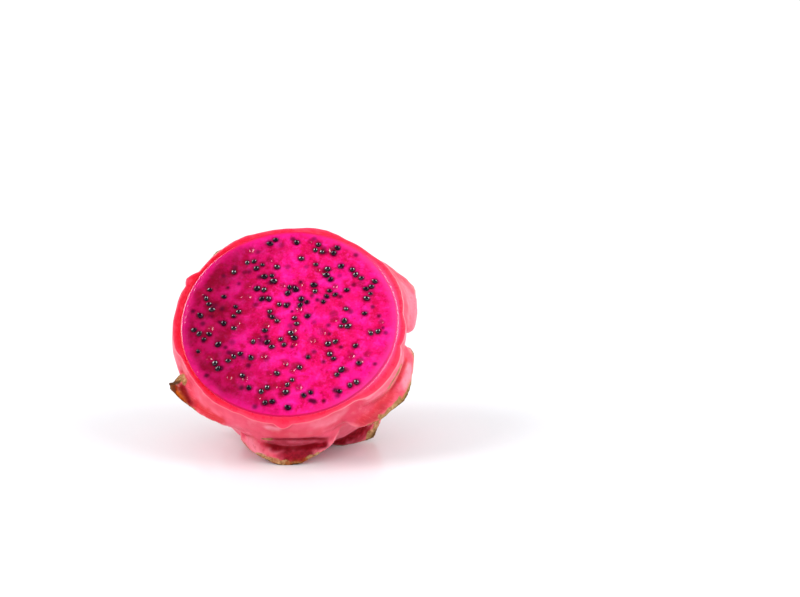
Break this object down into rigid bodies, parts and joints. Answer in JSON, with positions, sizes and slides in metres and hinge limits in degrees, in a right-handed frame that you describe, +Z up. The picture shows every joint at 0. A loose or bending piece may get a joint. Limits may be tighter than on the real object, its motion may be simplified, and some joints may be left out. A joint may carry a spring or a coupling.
{
  "type": "dragon fruit half",
  "caption": "Red-fleshed dragon fruit cut in half across, lying tilted back on the tips of its thick scales with its seeded cut face up.",
  "frame": {"origin": "middle of the outline's box, on the surface the fruit lies on", "axes": "+Z up; the cut face looks up and towards -Y, leaning back 46 degrees from level; +X to its right"},
  "size_m": [0.0944, 0.0927, 0.0813],
  "materials": {
    "rind": "waxy, soft sheen",
    "flesh": "wet, glossy"
  },
  "bodies": {
    "root": {"rind": "rind", "flesh": "flesh"}
  },
  "joints": []
}
